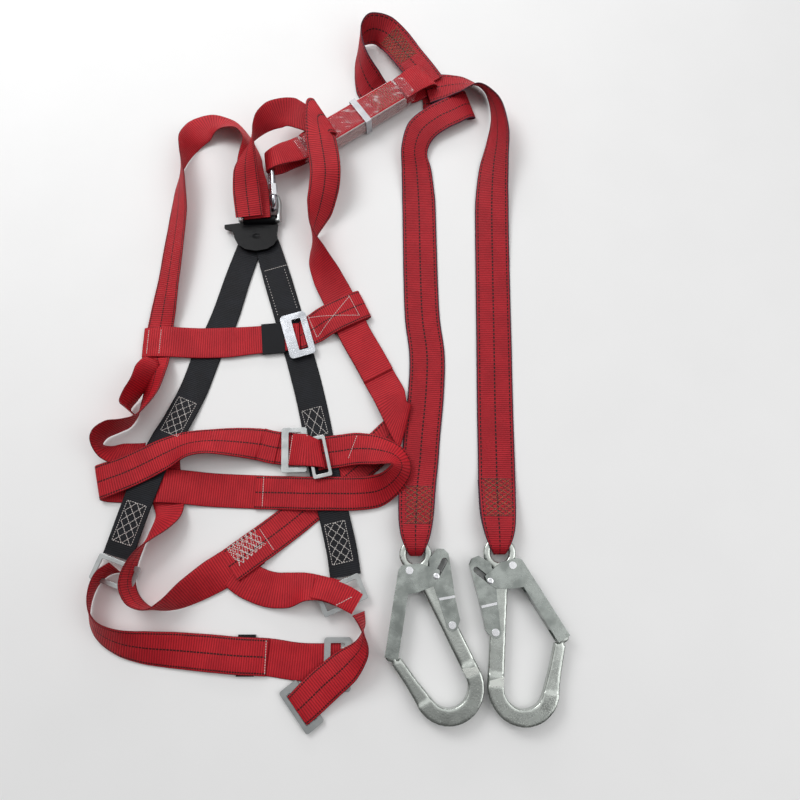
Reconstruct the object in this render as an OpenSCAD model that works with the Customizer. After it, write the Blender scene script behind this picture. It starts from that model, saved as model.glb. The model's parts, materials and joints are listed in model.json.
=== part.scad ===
// Full body safety harness with a forked shock absorbing lanyard and two
// scaffold hooks, laid out flat. Millimetres, Z up, floor at Z = 0.

/* [Webbing] */
// width of the red harness webbing
harness_w = 45; // [38:1:50]
// width of the lanyard webbing
lanyard_w = 50; // [44:1:52]
// width of the black back webbing
back_w = 40; // [34:1:44]
// thickness of all webbing
web_t = 2; // [1.4:0.1:2.4]

/* [Scaffold hook] */
// thickness of the forged shank and eye
hook_t = 11; // [9:0.5:11]
// width of the forged bar round the bowl
hook_bar = 20; // [16:0.5:21]
// radius of the eye that the webbing runs through
eye_r = 12; // [10:0.5:13]
// outer radius of the eye
eye_out_r = 21; // [18:0.5:22]
// angle the gate swings inwards
gate_open = 26; // [10:1:26]
// diameter of the rivets
rivet_d = 6; // [4:0.5:7]
// thickness of the pressed plates of gate and lever
plate_t = 2; // [1.5:0.1:2.2]

/* [Energy absorber] */
// width of the folded core
pack_w = 42; // [36:1:46]
// height of the folded core under its cover
pack_h = 24; // [18:1:24]
// number of folded webbing layers
fold_count = 7; // [5:1:8]

/* [Small hardware] */
// rod of the D-ring
dring_rod = 8; // [6:0.5:9]
// rod of the oval connector
link_rod = 8; // [6:0.5:8]
// thickness of the buckle frames
buckle_t = 3; // [2:0.5:3]

/* [Hidden] */
$fn = 48;

// Each route is a list of hand placed stations along the middle of a strap:
// [x, y, z, roll] or [x, y, z, roll, width]. Roll 0 lays the striped face up,
// 180 lays the plain face up and 90 stands the strap on edge.
// [x, y, z, turn, tilt, width] gives the crosswise direction itself, by its
// turn about Z and its tilt above the floor, for places where a strap folds over.

left_shoulder_route = [
  [-118, 149, 20.5, 180, 38], [-123, 190, 27, 182, 42], [-131, 222, 30, 192, 40],
  [-133, 250, 26, 218, 38], [-137, 276, 22, 248, 34], [-150, 297, 20, 246, 36],
  [-172, 313, 14, 218, 42], [-196, 317, 11, 196], [-216, 304, 11, 170],
  [-230, 278, 18, 120, 40], [-235, 248, 21.6, 84, 42], [-236, 212, 20, 58],
  [-236, 160, 16, 40], [-239, 100, 14, 34], [-242, 55, 12, 28, 42], [-246, 12, 9, 14, 40],
  [-249, -20, 6.5, 0, 37], [-249, -58, 6.5, 0, 35], [-246, -80, 13, 28, 38],
  [-249, -110, 17, 42, 42], [-255, -132, 22, 56, 42], [-264, -148, 22.6, 70, 42],
  [-278, -158, 22.6, 92, 42], [-294, -163, 22.6, 102, 42], [-309, -172, 22.6, 96, 42],
  [-314, -184, 20, 90, 38], [-304, -194, 13, 130, 30], [-288, -197, 6, 170, 32],
  [-272, -201, 4, 178, 40], [-258, -203, 3.4, 180]
];
right_shoulder_route = [
  [-128, 149, 26.5, 0, 40], [-133, 188, 36, 350, 42], [-134, 220, 46, 335, 42],
  [-130, 248, 50, 306, 38], [-123, 272, 50, 272, 32], [-112, 294, 46, 240, 36],
  [-96, 311, 40, 212, 42], [-72, 318, 36, 192], [-32, 302, 35, -59, 0, 70],
  [-22, 308, 40, -59, 0, 72], [-32, 302, 45, -59, 0, 70], [-26, 264, 45, 0], [-19, 222, 43, 0],
  [-20, 195, 36, 345], [-27, 162, 28, 320], [-36, 125, 23, 272, 44], [-30, 92, 18.8, 232],
  [-16, 62, 12, 204], [0, 32, 8, 186], [14, 2, 6.6, 180], [28, -28, 6.6, 180],
  [45, -58, 6.6, 180], [60, -86, 7.2, 180]
];
right_hip_route = [
  [12, 5, 3.9, 180], [28, -28, 3.9, 180], [48, -64, 3.9, 180], [64, -94, 4.6, 180],
  [76, -117, 9, 180], [91, -153, 10.6, -104, 0, 62], [98, -156, 6.4, -104, 0, 60],
  [88, -154, 2.2, -104, 0, 62], [62, -186, 1.4, 0], [32, -213, 1.2, 0], [-8, -247, 1.2, 0],
  [-45, -279, 1.2, 0], [-75, -303, 2.4, 0], [-100, -322, 6.6, 0], [-130, -344, 6.6, 0]
];
left_hip_route = [
  [-231, -178, 1.2, 180], [-228, -215, 1.6, 180], [-221, -246, 1.6, 180, 43],
  [-216, -263, 2.2, 180, 42], [-214, -278, 9, 200, 42], [-220, -291, 15, 222, 40],
  [-232, -307, 19, 244, 38],
  [-244, -325, 20, 264, 36], [-253, -347, 20, 278, 36], [-254, -368, 19.6, 286, 36],
  [-243, -387, 19.6, 284, 36], [-222, -396, 19.6, 270, 36], [-200, -390, 19, 246, 38],
  [-178, -376, 15.4, 222, 42], [-150, -357, 9.8, 200], [-122, -338, 3.4, 184],
  [-98, -321, 1.3, 180]
];
left_tail_route = [
  [-252, -66, 18, 180, 20], [-257, -82, 23, 130, 32], [-264, -102, 24, 104, 38],
  [-274, -120, 23.4, 98, 42], [-280, -134, 23, 88, 42], [-272, -141, 23, 84, 42]
];
chest_left_route = [
  [-236, -38, 1.4, 0, 44], [-256, -38, 1.4, 0, 44], [-271, -38, 5, -90, 0, 44],
  [-256, -38, 9.2, 180, 44], [-232, -38, 9.2, 180], [-205, -38, 5, 180], [-180, -38, 4.2, 180],
  [-150, -37, 4.2, 180], [-118, -34, 4.2, 180, 42], [-52, -27.6, 4.2, 180, 40]
];
chest_right_route = [
  [-51, -27, 4.2, 96, 0, 40], [-31, -16, 4.4, 0], [-17, -8, 9.4, 0], [-2, 0, 11.6, 0],
  [12, 7, 11.6, 0], [30, 16, 10.4, 0], [39, 21, 6, 115, 0, 45], [30, 16, 1.4, 180],
  [-12, -4, 1.4, 180]
];
belt_front_route = [
  [-250, -239, 1.2, 180], [-280, -239, 1.2, 180], [-304, -238, 1.6, 105, 0, 47],
  [-312, -236, 6.5, 105, 0, 47], [-302, -233, 11.4, 105, 0, 47], [-275, -223, 12.6, 0],
  [-250, -211, 13, 0], [-222, -197, 15, 350], [-195, -186, 19, 330], [-165, -182, 20, 326],
  [-130, -182, 14, 340], [-100, -184, 8, 356], [-78, -188, 6.2, 0], [-50, -191, 6.2, 0]
];
belt_flap_route = [[-98, -184, 10.4, 356], [-86, -187, 8.9, 358], [-75, -189, 8.6, 0]];
belt_fold_route = [
  [-57, -191, 9, 0, 44], [-49, -192, 13, 0, 44], [-39, -193, 16.6, 0, 44],
  [-27, -195, 17, 100, 0, 42], [-18, -197, 15, 103, 0, 40], [-15, -198, 12.6, 103, 0, 40]
];
belt_back_route = [
  [-247, -239, 6.6, 180], [-215, -240, 6.9, 180], [-190, -242, 5.3, 180],
  [-155, -245, 1.7, 180], [-84, -248, 1.3, 180]
];
belt_right_route = [
  [-102, -248, 3.7, 0], [-60, -249, 4.8, 0], [-32, -250, 7.2, 0], [-8, -250, 7.8, 0], [30, -250, 7, 5],
  [60, -247, 12, 22], [80, -236, 22, 40, 42], [92, -218, 27, 46, 42], [84, -203, 26, 38, 42],
  [60, -194, 20, 18], [32, -191, 13, 4], [10, -193, 8, 0], [-8, -195, 6.2, 0],
  [-22, -197, 6.2, 0]
];
left_leg_route = [
  [-274, -345, 15, 118, 28], [-287, -352, 18, 100, 34], [-296, -367, 19.6, 84, 36],
  [-299, -388, 20.4, 74, 38], [-295, -408, 20.4, 62, 38], [-282, -424, 20, 50, 40],
  [-258, -436, 16, 38, 43], [-228, -442, 11, 24], [-195, -445, 7, 12], [-150, -449, 4.2, 0],
  [-114, -452, 4.8, 0], [-92, -453, 4.8, 0], [-76, -454, 3.8, 0]
];
left_leg_tail_route = [
  [-118, -452, 1.2, 180], [-76, -454, 1.2, 180], [-40, -459, 1.2, 180], [-12, -460, 1.2, 180],
  [16, -459, 1.2, 180]
];
right_leg_route = [
  [-126, -346, 3.9, 180], [-106, -361, 3.9, 180], [-78, -372, 4, 180], [-52, -373, 7, 172],
  [-30, -369, 13, 150, 40], [-8, -371, 14, 150, 34], [14, -377, 13, 160, 34]
];
right_leg_tab_route = [
  [-20, -370, 17, 150, 28], [0, -373, 18, 155, 30], [20, -381, 17, 165, 30], [36, -390, 14, 172, 28]
];
right_leg_lower_route = [
  [38, -401, 16, 116, 32], [44, -418, 19.6, 96, 36], [43, -440, 20, 58, 40],
  [24, -462, 14, 22], [-4, -486, 8.6, 4], [-20, -501, 7.4, -47, 0, 44],
  [-32, -512, 6.9, -52, 0, 42], [-36, -515, 5.6, -52, 0, 41]
];
back_left_route = [
  [-130, 118, 1.3, 180, 36], [-146, 60, 1.3, 180, 38], [-161, 0, 1.2, 180], [-181, -55, 1.2, 180],
  [-196, -105, 1.4, 180], [-213, -148, 4, 180], [-228, -180, 7.8, 180], [-241, -215, 9.3, 180],
  [-254, -256, 9.3, 180], [-267, -300, 6.4, 180], [-276, -332, 5.2, 180]
];
back_right_route = [
  [-106, 118, 3.7, 180, 36], [-88, 62, 2.4, 180], [-70, 5, 1.2, 180], [-50, -60, 1.2, 180],
  [-37, -105, 1.2, 180], [-27, -145, 1.2, 180], [-19, -182, 2, 180], [-8, -235, 3.9, 180],
  [3, -278, 3.9, 180], [14, -322, 4, 180], [20, -356, 5, 180]
];
loop_low_route = [
  [-54, 267, 14, 125, 0, 41], [-66, 259, 14.5, 125, 0, 41], [-78, 251, 16, 120, 0, 38],
  [-88, 243, 17, 108, 0, 34], [-99, 238, 18.6, 100, 0, 32], [-109, 236, 28, 97, 0, 32],
  [-99, 238, 37.4, 100, 0, 32], [-88, 243, 38.4, 108, 0, 34], [-78, 251, 32.5, 120, 0, 38],
  [-66, 259, 26.6, 125, 0, 41], [-54, 267, 24, 125, 0, 41]
];
loop_high_route = [
  [91, 369, 12, 125, 0, 41], [102, 376, 6.4, 125, 0, 42], [114, 385, 5, 125, 0, 44],
  [128, 395, 6, 125, 0, 45], [135, 400, 14, 125, 0, 45], [129, 396, 23, 125, 0, 45],
  [114, 385, 27, 125, 0, 44], [102, 376, 26.4, 125, 0, 42], [91, 369, 24, 125, 0, 41]
];
lanyard_left_route = [
  [113, -232, 1.2, 180], [111, -272, 1.8, 180, 46], [110, -298, 2.4, 180, 38],
  [110, -312, 2.6, 180, 28], [110, -322, 3.2, 180, 20], [110, -329, 8, 180, 0, 15],
  [110, -330, 11, 180, 0, 14], [110, -329, 14, 180, 0, 15], [110, -322, 18.8, 0, 26],
  [110, -310, 20, 0, 36], [110, -298, 20, 0, 42], [111, -276, 15, 0, 47], [113, -240, 5.4, 0],
  [117, -205, 1.8, 0], [120, -170, 1.2, 0], [126, -110, 1.2, 0], [128, -55, 1.2, 0],
  [122, 0, 1.2, 0], [120, 60, 1.2, 0], [119, 130, 1.3, 0], [118, 190, 1.8, 0],
  [115, 240, 6, 8, 46], [112, 270, 13, 20, 42], [122, 302, 13.8, 12, 46], [147, 326, 13, 0],
  [170, 339, 13, 0], [190, 351, 11.6, 107, 0, 51], [199, 354, 7, 107, 0, 51],
  [190, 355, 2.4, 106, 0, 51], [162, 361, 1.2, 180], [126, 360, 1.2, 180]
];
lanyard_right_route = [
  [219, -232, 1.2, 180], [218, -272, 1.8, 180, 46], [218, -296, 2.4, 180, 38],
  [218, -310, 2.6, 180, 28], [218, -320, 3.2, 180, 20], [218, -327, 8, 180, 0, 15],
  [218, -328, 11, 180, 0, 14], [218, -327, 14, 180, 0, 15], [218, -320, 18.8, 0, 26],
  [218, -308, 20, 0, 36], [218, -296, 20, 0, 42], [218, -274, 15, 0, 47], [219, -238, 5.4, 0],
  [220, -205, 1.8, 0], [221, -130, 1.2, 0], [223, -30, 1.2, 0], [225, 80, 1.6, 0],
  [227, 180, 5.4, 352], [231, 240, 12.6, 335, 47], [238, 290, 21, 312, 44],
  [236, 337, 23, 282, 42], [217, 374, 21.6, 242, 44], [188, 386, 13.6, 205],
  [158, 386, 9.6, 186], [132, 380, 8.8, 180]
];
lanyard_centre_route = [
  [86, 362, 1.3, 180], [68, 370, 1.3, 180], [57, 376, 2.4, 178], [48, 382, 7.2, 166],
  [40, 389, 14.4, 150], [30, 412, 23.5, 118],
  [26, 442, 26, 105, 48], [30, 468, 26, 92, 48], [46, 482, 24, 62, 48], [66, 480, 19, 30],
  [84, 464, 16, 8], [102, 440, 13.6, 0], [120, 414, 12.8, 0], [136, 389, 12.2, 0]
];

// Outlines measured from the middle of a hook eye, with the bowl below it.
gate_pin = [-8, -20];
tail_pin = [26, -27];
shank_a = 117;
lever_pin = [45, -86];
bowl_mid = [39, -158];
bowl_in_r = 24;
bowl_out_r = bowl_in_r + hook_bar;
bar_h = 15;
mid_z = 11;
hook_left_at = [110, -329];
hook_right_at = [218, -327];
hook_right_turn = 22;
lever_ratio = 0.3;
slot_steps = 12;
pack_at = [30, 326];
pack_turn = 35;
pack_low = -117;
pack_high = 95;
// moves the middle of the footprint to the origin
middle = [-9.3, -20.8, 0];

red = [0.68, 0.1, 0.13];
black = [0.07, 0.08, 0.1];
steel = [0.78, 0.79, 0.8];
dark_steel = [0.4, 0.41, 0.43];
smoke = [0.75, 0.45, 0.45];

// crosswise direction, width and position of one station of a route
function unit(v) = v / max(norm(v), 0.000001);
function at(r, i) = [r[i][0], r[i][1], r[i][2]];
function along(r, i) = at(r, min(i + 1, len(r) - 1)) - at(r, max(i - 1, 0));
function turned(a, e) = [cos(e) * cos(a), cos(e) * sin(a), sin(e)];
function left_of(t) = unit([-t[1], t[0], 0]);
function rolled(t, a) = cos(a) * left_of(t) + [0, 0, sin(a)];
function is_turned(p) = len(p) == 6;
function side(r, i) =
  is_turned(r[i]) ? turned(r[i][3], r[i][4]) : rolled(along(r, i), r[i][3]);
function wide(r, i, w) = is_turned(r[i]) ? r[i][5] : len(r[i]) == 5 ? r[i][4] : w;

// smooth curve through the stations, at part u of the way from station i
function before(r, i) = at(r, max(i - 1, 0));
function after(r, i) = at(r, min(i + 2, len(r) - 1));
function term2(r, i) = 2 * before(r, i) - 5 * at(r, i) + 4 * at(r, i + 1) - after(r, i);
function term3(r, i) = 3 * at(r, i) - before(r, i) - 3 * at(r, i + 1) + after(r, i);
function term1(r, i) = at(r, i + 1) - before(r, i);
function mid(r, i, u) =
  at(r, i) + (term1(r, i) * u + term2(r, i) * u * u + term3(r, i) * u * u * u) / 2;
function heading(r, i, u) =
  unit(term1(r, i) + 2 * term2(r, i) * u + 3 * term3(r, i) * u * u);
function spread(r, i, u, w) =
  side(r, i) * wide(r, i, w) * (1 - u) + side(r, i + 1) * wide(r, i + 1, w) * u;

// the four corners of the webbing's section
function corners(c, half, n) = [c + half + n, c - half + n, c - half - n, c + half - n];
function section(c, t, s) = let (
    n = unit(cross(t, s)) * web_t / 2
  ) corners(c, s / 2, n);
function ring(r, i, u, w) = section(mid(r, i, u), heading(r, i, u), spread(r, i, u, w));
function steps(r, i) = max(3, ceil(norm(at(r, i + 1) - at(r, i)) / 8));
function rings(r, w) = [
  for (i = [0:len(r) - 2]) for (j = [0:steps(r, i) - 1]) ring(r, i, j / steps(r, i), w),
  ring(r, len(r) - 2, 1, w)
];
function wall(k, s) = let (a = 4 * k + s, b = 4 * k + (s + 1) % 4)
  [[a, a + 4, b + 4], [a, b + 4, b]];

// a length of webbing following a route
module webbing(route, w) {
  all = rings(route, w);
  last = 4 * (len(all) - 1);
  points = [for (g = all) for (p = g) p];
  walls = [for (k = [0:len(all) - 2]) for (s = [0:3]) for (f = wall(k, s)) f];
  ends = [[0, 1, 2], [0, 2, 3], [last, last + 2, last + 1], [last, last + 3, last + 2]];
  polyhedron(points = points, faces = concat(walls, ends));
}

module placed() {
  translate(-middle) children();
}

module strap(route, w, tint) {
  placed() color(tint) webbing(route, w);
}

// a flat frame of width a, height b with a window and rounded corners
module frame(a, b, h, window, shift, corner) {
  linear_extrude(h) difference() {
    soft_square([a, b], corner);
    translate([shift, 0]) soft_square(window, 1.5);
  }
}

module soft_square(size, r) {
  offset(r = r) square([size[0] - 2 * r, size[1] - 2 * r], center = true);
}

module set_frame(p, turn) {
  placed() translate(p) rotate([0, 0, turn]) color(steel) children();
}

module chest_buckle() {
  set_frame([-54, -27, 6.4], 17) frame(37, 66, buckle_t, [13, 47], 3, 6);
}

module waist_frame_left() {
  set_frame([-52, -192, 8.6], 2) frame(34, 61, buckle_t, [17, 48], 1, 3);
}

module waist_frame_right() {
  set_frame([-18, -202, 11.8], 13) frame(26, 57, buckle_t, [17, 46], 0, 3);
}

module hip_link_left() {
  set_frame([-275, -352, 8.4], -20) frame(58, 34, buckle_t, [46, 22], 0, 3);
}

module hip_link_right() {
  set_frame([16, -379, 8.4], 24) frame(60, 34, buckle_t, [48, 22], 0, 3);
}

module leg_buckle() {
  set_frame([-31, -511, 2.6], -52.5) linear_extrude(buckle_t) difference() {
    soft_square([60, 26], 3);
    translate([0, 6]) soft_square([44, 6], 1.5);
    translate([0, -4.5]) soft_square([44, 6], 1.5);
  }
}

module leg_plate() {
  set_frame([12, -462, 2.6], 0) frame(34, 64, buckle_t - 0.5, [18, 50], 0, 4);
}

// elastic keepers
module chest_keeper() {
  placed() translate([-89, -31.2, 4.2]) rotate([0, 0, 5.5]) color(black) difference() {
    translate([-16, -22.5, -1.8]) cube([32, 45, 3.6]);
    translate([-17, -21.7, -1.2]) cube([34, 43.4, 2.4]);
  }
}

module leg_keeper() {
  placed() color(black) difference() {
    translate([-114, -476.5, 0.05]) cube([22, 49.3, 3.5]);
    translate([-115, -476, 0.15]) cube([24, 46.8, 2.3]);
  }
}

// moulded pad with the tube that holds the D-ring
module dorsal_pad() {
  outline = [
    [-143, 150], [-146, 147], [-168, 144], [-168, 139], [-156, 135], [-152, 122], [-146, 112],
    [-136, 105], [-120, 102], [-104, 105], [-94, 112], [-89, 122], [-91, 130], [-90, 146], [-94, 150]
  ];
  placed() color(black) difference() {
    union() {
      translate([0, 0, 5.2]) linear_extrude(5.6) polygon(outline);
      translate([-140, 152, 9]) rotate([0, 90, 0]) cylinder(h = 47, r = 8);
      translate([-140, 140, 1.2]) cube([47, 12, 6]);
    }
    translate([-180, 152, 9]) rotate([0, 90, 0]) cylinder(h = 120, r = dring_rod / 2 + 0.3);
  }
}

module rod(l, r) {
  rotate([0, 90, 0]) cylinder(h = l, r = r);
}

// half of a round bar ring lying flat, its ends on the X axis
module half_ring(big, small) {
  rotate_extrude(angle = 180) translate([big, 0]) circle(r = small);
}

module d_ring() {
  r = dring_rod / 2;
  placed() translate([-116.5, 152, 9]) rotate([13, 0, 0]) color(steel) union() {
    translate([-28, 0, 0]) rod(56, r);
    for (x = [-28, 28]) translate([x, 0, 0]) sphere(r = r);
    for (x = [-28, 28]) translate([x, 0, 0]) rotate([-90, 0, 0]) cylinder(h = 21, r = r);
    translate([0, 21, 0]) half_ring(28, r);
  }
}

// oval screw link standing on edge: X runs along it, Y is its height
module at_link() {
  placed() translate([-101, 212.5, 18.5]) rotate([0, 0, 96]) rotate([-72, 0, 0]) children();
}

link_long = 35;
link_high = 11.5;
gap_low = -30;
gap_high = -18;

module connector_body() {
  r = link_rod / 2;
  at_link() color(steel) union() {
    translate([link_long, 0, 0]) rotate([0, 0, -90]) half_ring(link_high, r);
    translate([-link_long, 0, 0]) rotate([0, 0, 90]) half_ring(link_high, r);
    translate([-link_long, link_high, 0]) rod(2 * link_long, r);
    translate([-link_long, -link_high, 0]) rod(link_long + gap_low, r);
    translate([gap_high, -link_high, 0]) rod(link_long - gap_high, r);
  }
}

module connector_sleeve() {
  r = link_rod / 2;
  at_link() translate([gap_low - 3, -link_high, 0]) color(dark_steel) difference() {
    rotate([0, 90, 0]) cylinder(h = gap_high - gap_low + 6, r = r + 2.4, $fn = 6);
    translate([-1, 0, 0]) rod(gap_high - gap_low + 8, r + 0.25);
  }
}

module in_pack() {
  placed() translate([pack_at[0], pack_at[1], 0]) rotate([0, 0, pack_turn]) children();
}

// folded webbing, layer on layer
module absorber_core() {
  t = pack_h / fold_count;
  in_pack() color(red) union() {
    for (i = [0:fold_count - 1]) {
      translate([-98 + 2 * (i % 2), -pack_w / 2 + 0.6 * (i % 2), 4.2 + i * t])
        cube([168, pack_w - 1.2, t + 0.01]);
    }
  }
}

module absorber_cover() {
  in_pack() color(smoke) difference() {
    translate([pack_low, -pack_w / 2 - 1, 3]) cube([pack_high - pack_low, pack_w + 2, pack_h + 2.6]);
    translate([pack_low - 1, -pack_w / 2 - 0.3, 3.7])
      cube([pack_high - pack_low + 2, pack_w + 0.6, pack_h + 1.2]);
  }
}

module absorber_band() {
  in_pack() color(steel) difference() {
    translate([-5, -pack_w / 2 - 2, 2.3]) cube([10, pack_w + 4, pack_h + 4]);
    translate([-6, -pack_w / 2 - 1.1, 2.9]) cube([12, pack_w + 2.2, pack_h + 2.8]);
  }
}

// one hook, in its own outline frame
module shank_outline() {
  translate([69.4, -142.8]) rotate(shank_a - 0.4) translate([0, -10]) square([146, 20]);
}

module bowl_outline() {
  translate(bowl_mid) difference() {
    circle(r = bowl_out_r);
    circle(r = bowl_in_r);
    polygon([[0, 0], [90, 45], [90, 120], [-120, 120], [-120, -73]]);
  }
}

module nose_outline() {
  translate([10, -176]) rotate(126)
    polygon([[-3, -9.8], [10, -9], [26, -7.6], [59, -6.8], [59, 6.8], [26, 7.2], [10, 8.4], [-3, 9.8]]);
  translate([-31.5, -122.5]) circle(r = 7);
}

module hook_body() {
  color(steel) difference() {
    union() {
      translate([0, 0, mid_z - hook_t / 2]) linear_extrude(hook_t) union() {
        circle(r = eye_out_r);
        translate(gate_pin) circle(r = 8);
        shank_outline();
      }
      translate([0, 0, mid_z - bar_h / 2]) linear_extrude(bar_h) bowl_outline();
      translate([0, 0, mid_z - 6.5]) linear_extrude(13) nose_outline();
      translate([65.6, -135.4, mid_z]) rotate([0, 0, shank_a - 0.4]) translate([-12, -9.7, 0.5 - bar_h / 2])
        cube([16, 19.4, bar_h - 1]);
    }
    cylinder(h = 40, r = eye_r);
    for (p = [gate_pin, lever_pin])
      translate([p[0], p[1], -1]) cylinder(h = 30, r = rivet_d / 2 + 0.05);
  }
}

module gate_outline() {
  polygon([[-18, -14], [4, -11], [30, -19], [30, -29], [22, -39], [2, -47], [-14, -50]]);
  translate([-14, -22]) rotate(-99.2) translate([0, -8.5]) square([104, 17]);
  translate([-14, -22]) circle(r = 8.5);
}

module hook_gate() {
  color(dark_steel) difference() {
    union() {
      for (z = [0.8, mid_z * 2 - 0.8 - plate_t])
        translate([0, 0, z]) linear_extrude(plate_t) gate_outline();
      translate([-14, -22, 0.8]) rotate([0, 0, -99.2]) translate([34, 6.5, 0])
        cube([53, 2, 2 * mid_z - 1.6]);
      translate([tail_pin[0], tail_pin[1], 0.8]) cylinder(h = 2 * mid_z - 1.6, r = rivet_d / 2);
    }
    translate([gate_pin[0], gate_pin[1], -1]) cylinder(h = 30, r = rivet_d / 2 + 0.2);
  }
}

// the tail pin as seen from the lever when the gate has turned by a
function swung(v, a) = [v[0] * cos(a) - v[1] * sin(a), v[0] * sin(a) + v[1] * cos(a)];
function pin_now(a) = gate_pin + swung(tail_pin - gate_pin, a);
function pin_seen(a) = lever_pin + swung(pin_now(a) - lever_pin, -lever_ratio * a);

module lever_outline() {
  difference() {
    union() {
      polygon([
        [27, 7], [17, -6], [18, -24], [38, -86], [45, -94], [52, -88], [55, -80], [50, -56],
        [42, 1], [36, 7]
      ]);
      translate(lever_pin) circle(r = 7.5);
    }
    translate(lever_pin) circle(r = rivet_d / 2 + 0.2);
    for (k = [-1:slot_steps + 1])
      translate(pin_seen(k * gate_open / slot_steps)) circle(r = rivet_d / 2 + 0.9);
  }
}

module hook_lever() {
  low = mid_z - hook_t / 2 - 0.3 - plate_t;
  high = mid_z + hook_t / 2 + 0.3;
  color(dark_steel) union() {
    for (z = [low, high]) translate([0, 0, z]) linear_extrude(plate_t) lever_outline();
    translate([0, 0, low]) linear_extrude(high + plate_t - low)
      polygon([[42, 1], [50, -56], [55, -80], [53, -80], [48, -56], [40, 1]]);
  }
}

module rivet(p, low, head) {
  color(steel) translate([p[0], p[1], low]) union() {
    cylinder(h = 2 * (mid_z - low), r = rivet_d / 2);
    cylinder(h = head, r = rivet_d / 2 + 1.8);
    translate([0, 0, 2 * (mid_z - low) - head]) cylinder(h = head, r = rivet_d / 2 + 1.8);
  }
}

module left_hook() {
  placed() translate([hook_left_at[0], hook_left_at[1], 0]) children();
}

module right_hook() {
  placed() translate([hook_right_at[0], hook_right_at[1], 0])
    rotate([0, 0, hook_right_turn]) mirror([1, 0, 0]) children();
}

strap(left_shoulder_route, harness_w, red);  // left_shoulder_strap
strap(right_shoulder_route, harness_w, red);  // right_shoulder_strap
strap(left_hip_route, harness_w, red);  // left_hip_strap
strap(right_hip_route, harness_w, red);  // right_hip_strap
strap(left_tail_route, harness_w, red);  // left_tail_loop
strap(chest_left_route, harness_w, red);  // chest_strap_left
strap(chest_right_route, harness_w, red);  // chest_strap_right
strap(belt_front_route, harness_w, red);  // belt_front
strap(belt_flap_route, harness_w, red);  // belt_flap
strap(belt_back_route, harness_w, red);  // belt_back
strap(belt_right_route, harness_w, red);  // belt_right
strap(belt_fold_route, harness_w, red);  // belt_fold
strap(left_leg_route, harness_w, red);  // left_leg_strap
strap(left_leg_tail_route, harness_w, red);  // left_leg_tail
strap(right_leg_route, harness_w, red);  // right_leg_strap
strap(right_leg_tab_route, harness_w, red);  // right_leg_tab
strap(right_leg_lower_route, harness_w, red);  // right_leg_lower
strap(back_left_route, back_w, black);  // back_strap_left
strap(back_right_route, back_w, black);  // back_strap_right
chest_keeper();
leg_keeper();
dorsal_pad();
d_ring();
chest_buckle();
waist_frame_left();
waist_frame_right();
hip_link_left();
hip_link_right();
leg_buckle();
leg_plate();
connector_body();
connector_sleeve();
absorber_core();
absorber_cover();
absorber_band();
strap(loop_low_route, harness_w, red);  // absorber_loop_low
strap(loop_high_route, harness_w, red);  // absorber_loop_high
strap(lanyard_centre_route, lanyard_w, red);  // lanyard_centre
strap(lanyard_left_route, lanyard_w, red);  // lanyard_left
strap(lanyard_right_route, lanyard_w, red);  // lanyard_right
left_hook() hook_body();  // hook_left_body
left_hook() hook_gate();  // hook_left_gate
left_hook() hook_lever();  // hook_left_lever
left_hook() rivet(gate_pin, 0, 0.6);  // hook_left_gate_rivet
left_hook() rivet(lever_pin, 2, 1);  // hook_left_lever_rivet
right_hook() hook_body();  // hook_right_body
right_hook() hook_gate();  // hook_right_gate
right_hook() hook_lever();  // hook_right_lever
right_hook() rivet(gate_pin, 0, 0.6);  // hook_right_gate_rivet
right_hook() rivet(lever_pin, 2, 1);  // hook_right_lever_rivet
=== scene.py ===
"""Full body safety harness with a forked lanyard and two scaffold hooks, laid out flat.

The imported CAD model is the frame. Every length of webbing is rebuilt here as a ribbon along its own
route, sewn with thread, and every hard part gets a finish. Routes are in millimetres, like the part's
source, and place() turns them into metres in the row frame."""
import json
import math
import random

import bmesh
import bpy
from mathutils import Matrix, Vector
from mathutils.bvhtree import BVHTree

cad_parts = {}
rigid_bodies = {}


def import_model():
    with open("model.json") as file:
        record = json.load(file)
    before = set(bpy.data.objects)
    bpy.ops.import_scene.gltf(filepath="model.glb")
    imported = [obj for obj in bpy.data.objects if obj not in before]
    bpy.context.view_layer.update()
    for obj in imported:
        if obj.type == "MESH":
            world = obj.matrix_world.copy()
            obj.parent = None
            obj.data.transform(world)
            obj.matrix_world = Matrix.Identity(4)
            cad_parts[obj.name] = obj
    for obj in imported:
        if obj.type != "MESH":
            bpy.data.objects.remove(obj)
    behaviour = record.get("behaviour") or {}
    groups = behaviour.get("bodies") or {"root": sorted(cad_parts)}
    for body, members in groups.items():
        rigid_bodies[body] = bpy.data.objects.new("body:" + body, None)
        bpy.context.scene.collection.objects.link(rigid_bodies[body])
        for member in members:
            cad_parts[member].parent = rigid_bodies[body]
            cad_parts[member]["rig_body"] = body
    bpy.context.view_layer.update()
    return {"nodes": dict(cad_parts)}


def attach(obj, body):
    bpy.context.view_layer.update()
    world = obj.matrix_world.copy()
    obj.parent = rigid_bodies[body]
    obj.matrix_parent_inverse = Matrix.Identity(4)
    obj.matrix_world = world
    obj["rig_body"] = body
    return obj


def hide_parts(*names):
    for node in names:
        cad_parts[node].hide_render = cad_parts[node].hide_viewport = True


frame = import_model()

MM = 0.001
# the point of the part's drawing that lies on the row frame's origin, then the webbing's widths and
# thickness, all in millimetres
MIDDLE = Vector((-9.3, -20.8, 0.0))
HARNESS_W = 45.0
LANYARD_W = 50.0
BACK_W = 40.0
WEB_T = 1.9
random.seed(7)


def place(x, y, z):
    """A point of the part's own drawing, in millimetres, as metres in the row frame."""
    return (Vector((x, y, z)) - MIDDLE) * MM


def linked(name, data):
    """A new object in the scene."""
    made = bpy.data.objects.new(name, data)
    bpy.context.scene.collection.objects.link(made)
    return made


def shaded_smooth(mesh):
    """Smooth shading on every face."""
    for polygon in mesh.polygons:
        polygon.use_smooth = True


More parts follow.
